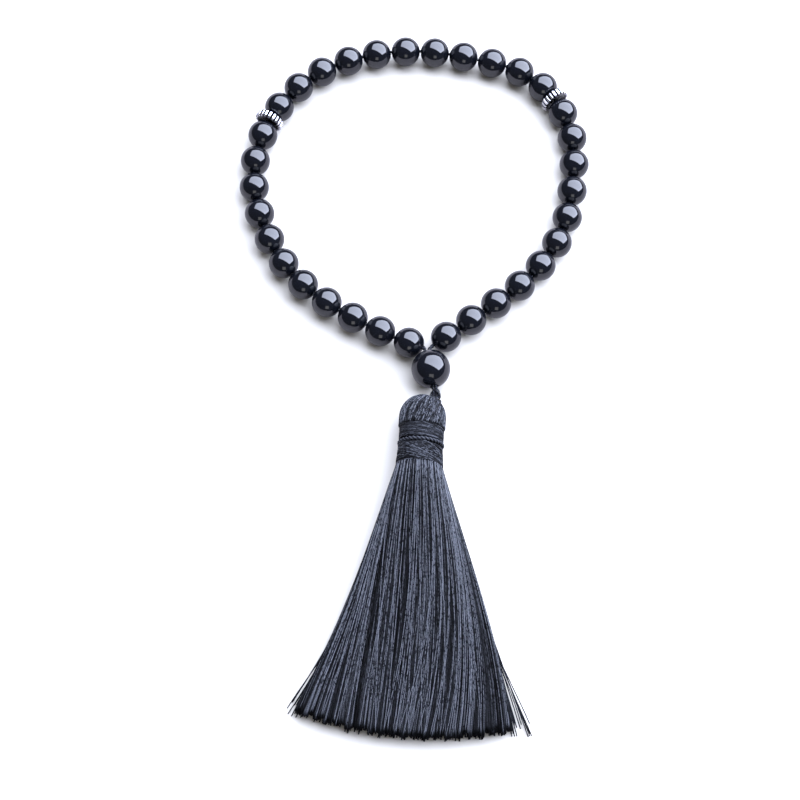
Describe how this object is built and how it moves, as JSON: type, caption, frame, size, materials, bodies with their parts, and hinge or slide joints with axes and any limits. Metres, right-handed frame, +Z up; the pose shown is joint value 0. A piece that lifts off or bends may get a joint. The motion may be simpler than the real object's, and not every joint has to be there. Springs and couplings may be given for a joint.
{
  "type": "misbaha prayer beads",
  "caption": "Loop of round black beads with ribbed silver dividers, a larger bead at the junction and a long fanned black silk tassel, lying flat.",
  "frame": {"origin": "on the surface it lies on, under the middle of the whole object's box", "axes": "+Z up off the surface, +Y from the tassel towards the far side of the loop, +X to the right of it"},
  "size_m": [0.0939, 0.192, 0.0127],
  "materials": {
    "onyx": "polished, glossy near-black",
    "silver": "bright silver plate, ribbed",
    "cord": "twisted, waxed, slightly glossy",
    "silk": "silk thread, soft sheen",
    "binding_silk": "wound silk thread, satin"
  },
  "bodies": {
    "junction": {"guru_cord": "cord"},
    "guru_bead": {"guru_bead": "onyx"},
    "knot": {"tassel_knot": "cord"},
    "tassel": {"tassel_loop": "silk", "tassel_head": "silk", "binding_upper": "binding_silk", "binding_ring": "binding_silk", "binding_lower": "binding_silk"},
    "skirt": {"tassel_skirt": "silk"},
    "right_leg": {"strand_leg_right": "cord"},
    "left_leg": {"strand_leg_left": "cord"},
    "right_cord_1": {"strand_cord_right_1": "cord"},
    "right_cord_2": {"strand_cord_right_2": "cord"},
    "right_cord_3": {"strand_cord_right_3": "cord"},
    "right_cord_4": {"strand_cord_right_4": "cord"},
    "right_cord_5": {"strand_cord_right_5": "cord"},
    "right_cord_6": {"strand_cord_right_6": "cord"},
    "left_cord_1": {"strand_cord_left_1": "cord"},
    "left_cord_2": {"strand_cord_left_2": "cord"},
    "left_cord_3": {"strand_cord_left_3": "cord"},
    "left_cord_4": {"strand_cord_left_4": "cord"},
    "left_cord_5": {"strand_cord_left_5": "cord"},
    "left_cord_6": {"strand_cord_left_6": "cord"},
    "bead_01": {"bead_01": "onyx"},
    "bead_02": {"bead_02": "onyx"},
    "bead_03": {"bead_03": "onyx"},
    "bead_04": {"bead_04": "onyx"},
    "bead_05": {"bead_05": "onyx"},
    "bead_06": {"bead_06": "onyx"},
    "bead_07": {"bead_07": "onyx"},
    "bead_08": {"bead_08": "onyx"},
    "bead_09": {"bead_09": "onyx"},
    "bead_10": {"bead_10": "onyx"},
    "bead_11": {"bead_11": "onyx"},
    "spacer_01": {"spacer_01": "silver"},
    "bead_12": {"bead_12": "onyx"},
    "bead_13": {"bead_13": "onyx"},
    "bead_14": {"bead_14": "onyx"},
    "bead_15": {"bead_15": "onyx"},
    "bead_16": {"bead_16": "onyx"},
    "bead_17": {"bead_17": "onyx"},
    "bead_18": {"bead_18": "onyx"},
    "bead_19": {"bead_19": "onyx"},
    "bead_20": {"bead_20": "onyx"},
    "bead_21": {"bead_21": "onyx"},
    "bead_22": {"bead_22": "onyx"},
    "spacer_02": {"spacer_02": "silver"},
    "bead_23": {"bead_23": "onyx"},
    "bead_24": {"bead_24": "onyx"},
    "bead_25": {"bead_25": "onyx"},
    "bead_26": {"bead_26": "onyx"},
    "bead_27": {"bead_27": "onyx"},
    "bead_28": {"bead_28": "onyx"},
    "bead_29": {"bead_29": "onyx"},
    "bead_30": {"bead_30": "onyx"},
    "bead_31": {"bead_31": "onyx"},
    "bead_32": {"bead_32": "onyx"},
    "bead_33": {"bead_33": "onyx"}
  },
  "joints": [
    {"name": "tassel_swing", "type": "hinge", "parent": "junction", "child": "knot", "pos_m": [0.00492, -0.00822, 0.005], "axis": [0, 0, 1], "range_deg": [-40, 40]},
    {"name": "tassel_lift", "type": "hinge", "parent": "knot", "child": "tassel", "pos_m": [0.00555, -0.01176, 0.005], "axis": [-1, 0, 0], "range_deg": [0, 40]},
    {"name": "skirt_sway", "type": "hinge", "parent": "tassel", "child": "skirt", "pos_m": [0.00089, -0.02955, 0.006], "axis": [0, 0, 1], "range_deg": [-12, 12]},
    {"name": "loop_lift", "type": "hinge", "parent": "junction", "child": "right_leg", "pos_m": [0.00364, 0.00242, 0.005], "axis": [1, 0, 0], "range_deg": [0, 70]},
    {"name": "loop_squeeze", "type": "hinge", "parent": "right_leg", "child": "right_cord_1", "pos_m": [0.00471, 0.004, 0.00395], "axis": [0, 0, 1], "range_deg": [-12, 10]},
    {"name": "loop_lift_left", "type": "hinge", "parent": "junction", "child": "left_leg", "pos_m": [0.00245, 0.00242, 0.005], "axis": [1, 0, 0], "range_deg": [0, 70]},
    {"name": "right_flex_1", "type": "hinge", "parent": "right_cord_1", "child": "right_cord_2", "pos_m": [0.02443, 0.01819, 0.00395], "axis": [0, 0, 1], "range_deg": [-3.1, 3.7]},
    {"name": "right_flex_2", "type": "hinge", "parent": "right_cord_2", "child": "right_cord_3", "pos_m": [0.03956, 0.03689, 0.00395], "axis": [0, 0, 1], "range_deg": [-6.8, 8.2]},
    {"name": "right_flex_3", "type": "hinge", "parent": "right_cord_3", "child": "right_cord_4", "pos_m": [0.04336, 0.06081, 0.00395], "axis": [0, 0, 1], "range_deg": [-8.5, 10.2]},
    {"name": "right_flex_4", "type": "hinge", "parent": "right_cord_4", "child": "right_cord_5", "pos_m": [0.03802, 0.07765, 0.00395], "axis": [0, 0, 1], "range_deg": [-4.3, 5.2]},
    {"name": "right_flex_5", "type": "hinge", "parent": "right_cord_5", "child": "right_cord_6", "pos_m": [0.01767, 0.08951, 0.00395], "axis": [0, 0, 1], "range_deg": [-14.9, 12.4]},
    {"name": "left_base_flex", "type": "hinge", "parent": "left_leg", "child": "left_cord_1", "pos_m": [0.00219, 0.0033, 0.00395], "axis": [0, 0, 1], "range_deg": [-9.7, 11.7]},
    {"name": "left_flex_1", "type": "hinge", "parent": "left_cord_1", "child": "left_cord_2", "pos_m": [-0.01966, 0.01381, 0.00395], "axis": [0, 0, 1], "range_deg": [-1.8, 1.6]},
    {"name": "left_flex_2", "type": "hinge", "parent": "left_cord_2", "child": "left_cord_3", "pos_m": [-0.03675, 0.03069, 0.00395], "axis": [0, 0, 1], "range_deg": [-6.7, 5.6]},
    {"name": "left_flex_3", "type": "hinge", "parent": "left_cord_3", "child": "left_cord_4", "pos_m": [-0.04344, 0.05384, 0.00395], "axis": [0, 0, 1], "range_deg": [-11.1, 9.2]},
    {"name": "left_flex_4", "type": "hinge", "parent": "left_cord_4", "child": "left_cord_5", "pos_m": [-0.03913, 0.0711, 0.00395], "axis": [0, 0, 1], "range_deg": [-6.4, 5.3]},
    {"name": "left_flex_5", "type": "hinge", "parent": "left_cord_5", "child": "left_cord_6", "pos_m": [-0.02195, 0.08775, 0.00395], "axis": [0, 0, 1], "range_deg": [-11.7, 14.1]},
    {"name": "guru_bead_spin", "type": "hinge", "parent": "junction", "child": "guru_bead", "pos_m": [0.004, -0.003, 0.005], "axis": [-0.1736, 0.9848, 0], "continuous": true},
    {"name": "bead_01_spin", "type": "hinge", "parent": "right_cord_1", "child": "bead_01", "pos_m": [0.00801, 0.00634, 0.00395], "axis": [0.8162, 0.5778, 0], "continuous": true},
    {"name": "bead_02_spin", "type": "hinge", "parent": "right_cord_1", "child": "bead_02", "pos_m": [0.01459, 0.01106, 0.00395], "axis": [0.8089, 0.588, 0], "continuous": true},
    {"name": "bead_03_spin", "type": "hinge", "parent": "right_cord_1", "child": "bead_03", "pos_m": [0.02115, 0.01582, 0.00395], "axis": [0.8106, 0.5856, 0], "continuous": true},
    {"name": "bead_04_spin", "type": "hinge", "parent": "right_cord_2", "child": "bead_04", "pos_m": [0.02748, 0.02085, 0.00395], "axis": [0.7528, 0.6582, 0], "continuous": true},
    {"name": "bead_05_spin", "type": "hinge", "parent": "right_cord_2", "child": "bead_05", "pos_m": [0.03311, 0.02665, 0.00395], "axis": [0.6357, 0.7719, 0], "continuous": true},
    {"name": "bead_06_spin", "type": "hinge", "parent": "right_cord_2", "child": "bead_06", "pos_m": [0.03762, 0.03333, 0.00395], "axis": [0.4783, 0.8782, 0], "continuous": true},
    {"name": "bead_07_spin", "type": "hinge", "parent": "right_cord_3", "child": "bead_07", "pos_m": [0.04062, 0.04079, 0.00395], "axis": [0.2619, 0.9651, 0], "continuous": true},
    {"name": "bead_08_spin", "type": "hinge", "parent": "right_cord_3", "child": "bead_08", "pos_m": [0.04221, 0.04872, 0.00395], "axis": [0.132, 0.9912, 0], "continuous": true},
    {"name": "bead_09_spin", "type": "hinge", "parent": "right_cord_3", "child": "bead_09", "pos_m": [0.04306, 0.05677, 0.00395], "axis": [0.076, 0.9971, 0], "continuous": true},
    {"name": "bead_10_spin", "type": "hinge", "parent": "right_cord_4", "child": "bead_10", "pos_m": [0.04283, 0.06482, 0.00395], "axis": [-0.1316, 0.9913, 0], "continuous": true},
    {"name": "bead_11_spin", "type": "hinge", "parent": "right_cord_4", "child": "bead_11", "pos_m": [0.04061, 0.07252, 0.00395], "axis": [-0.4166, 0.9091, 0], "continuous": true},
    {"name": "spacer_01_spin", "type": "hinge", "parent": "right_cord_4", "child": "spacer_01", "pos_m": [0.03847, 0.07692, 0.00395], "axis": [-0.5285, 0.8489, 0], "continuous": true},
    {"name": "bead_12_spin", "type": "hinge", "parent": "right_cord_5", "child": "bead_12", "pos_m": [0.03538, 0.08071, 0.00395], "axis": [-0.6531, 0.7573, 0], "continuous": true},
    {"name": "bead_13_spin", "type": "hinge", "parent": "right_cord_5", "child": "bead_13", "pos_m": [0.02911, 0.08559, 0.00395], "axis": [-0.8944, 0.4472, 0], "continuous": true},
    {"name": "bead_14_spin", "type": "hinge", "parent": "right_cord_5", "child": "bead_14", "pos_m": [0.02158, 0.08846, 0.00395], "axis": [-0.9656, 0.2602, 0], "continuous": true},
    {"name": "bead_15_spin", "type": "hinge", "parent": "right_cord_6", "child": "bead_15", "pos_m": [0.01372, 0.09042, 0.00395], "axis": [-0.9742, 0.2259, 0], "continuous": true},
    {"name": "bead_16_spin", "type": "hinge", "parent": "right_cord_6", "child": "bead_16", "pos_m": [0.00575, 0.09179, 0.00395], "axis": [-0.9938, 0.1113, 0], "continuous": true},
    {"name": "bead_17_spin", "type": "hinge", "parent": "right_cord_6", "child": "bead_17", "pos_m": [-0.00232, 0.09211, 0.00395], "axis": [-0.9994, -0.0332, 0], "continuous": true},
    {"name": "bead_18_spin", "type": "hinge", "parent": "left_cord_6", "child": "bead_18", "pos_m": [-0.01035, 0.09124, 0.00395], "axis": [-0.9836, -0.1804, 0], "continuous": true},
    {"name": "bead_19_spin", "type": "hinge", "parent": "left_cord_6", "child": "bead_19", "pos_m": [-0.01814, 0.08913, 0.00395], "axis": [-0.9404, -0.3402, 0], "continuous": true},
    {"name": "bead_20_spin", "type": "hinge", "parent": "left_cord_5", "child": "bead_20", "pos_m": [-0.02541, 0.08564, 0.00395], "axis": [-0.8528, -0.5222, 0], "continuous": true},
    {"name": "bead_21_spin", "type": "hinge", "parent": "left_cord_5", "child": "bead_21", "pos_m": [-0.03174, 0.08067, 0.00395], "axis": [-0.7104, -0.7038, 0], "continuous": true},
    {"name": "bead_22_spin", "type": "hinge", "parent": "left_cord_5", "child": "bead_22", "pos_m": [-0.03687, 0.07446, 0.00395], "axis": [-0.5577, -0.83, 0], "continuous": true},
    {"name": "spacer_02_spin", "type": "hinge", "parent": "left_cord_4", "child": "spacer_02", "pos_m": [-0.0395, 0.07033, 0.00395], "axis": [-0.4348, -0.9005, 0], "continuous": true},
    {"name": "bead_23_spin", "type": "hinge", "parent": "left_cord_4", "child": "bead_23", "pos_m": [-0.04115, 0.06573, 0.00395], "axis": [-0.3144, -0.9493, 0], "continuous": true},
    {"name": "bead_24_spin", "type": "hinge", "parent": "left_cord_4", "child": "bead_24", "pos_m": [-0.04293, 0.05786, 0.00395], "axis": [-0.1255, -0.9921, 0], "continuous": true},
    {"name": "bead_25_spin", "type": "hinge", "parent": "left_cord_3", "child": "bead_25", "pos_m": [-0.04297, 0.04982, 0.00395], "axis": [0.1155, -0.9933, 0], "continuous": true},
    {"name": "bead_26_spin", "type": "hinge", "parent": "left_cord_3", "child": "bead_26", "pos_m": [-0.0413, 0.04193, 0.00395], "axis": [0.2957, -0.9553, 0], "continuous": true},
    {"name": "bead_27_spin", "type": "hinge", "parent": "left_cord_3", "child": "bead_27", "pos_m": [-0.03843, 0.03437, 0.00395], "axis": [0.4135, -0.9105, 0], "continuous": true},
    {"name": "bead_28_spin", "type": "hinge", "parent": "left_cord_2", "child": "bead_28", "pos_m": [-0.03448, 0.02733, 0.00395], "axis": [0.5607, -0.828, 0], "continuous": true},
    {"name": "bead_29_spin", "type": "hinge", "parent": "left_cord_2", "child": "bead_29", "pos_m": [-0.02926, 0.02121, 0.00395], "axis": [0.7299, -0.6836, 0], "continuous": true},
    {"name": "bead_30_spin", "type": "hinge", "parent": "left_cord_2", "child": "bead_30", "pos_m": [-0.02298, 0.01613, 0.00395], "axis": [0.8203, -0.572, 0], "continuous": true},
    {"name": "bead_31_spin", "type": "hinge", "parent": "left_cord_1", "child": "bead_31", "pos_m": [-0.01615, 0.01178, 0.00395], "axis": [0.866, -0.5001, 0], "continuous": true},
    {"name": "bead_32_spin", "type": "hinge", "parent": "left_cord_1", "child": "bead_32", "pos_m": [-0.00901, 0.00797, 0.00395], "axis": [0.8967, -0.4427, 0], "continuous": true},
    {"name": "bead_33_spin", "type": "hinge", "parent": "left_cord_1", "child": "bead_33", "pos_m": [-0.00159, 0.00474, 0.00395], "axis": [0.9349, -0.3549, 0], "continuous": true}
  ],
  "couplings": [
    {"joint": "loop_lift_left", "follows": "loop_lift", "ratio": 1},
    {"joint": "right_flex_1", "follows": "loop_squeeze", "ratio": -0.3},
    {"joint": "right_flex_2", "follows": "loop_squeeze", "ratio": -0.67},
    {"joint": "right_flex_3", "follows": "loop_squeeze", "ratio": -0.84},
    {"joint": "right_flex_4", "follows": "loop_squeeze", "ratio": -0.42},
    {"joint": "right_flex_5", "follows": "loop_squeeze", "ratio": 1.23},
    {"joint": "left_base_flex", "follows": "loop_squeeze", "ratio": -0.96},
    {"joint": "left_flex_1", "follows": "loop_squeeze", "ratio": 0.14},
    {"joint": "left_flex_2", "follows": "loop_squeeze", "ratio": 0.55},
    {"joint": "left_flex_3", "follows": "loop_squeeze", "ratio": 0.91},
    {"joint": "left_flex_4", "follows": "loop_squeeze", "ratio": 0.52},
    {"joint": "left_flex_5", "follows": "loop_squeeze", "ratio": -1.16}
  ]
}
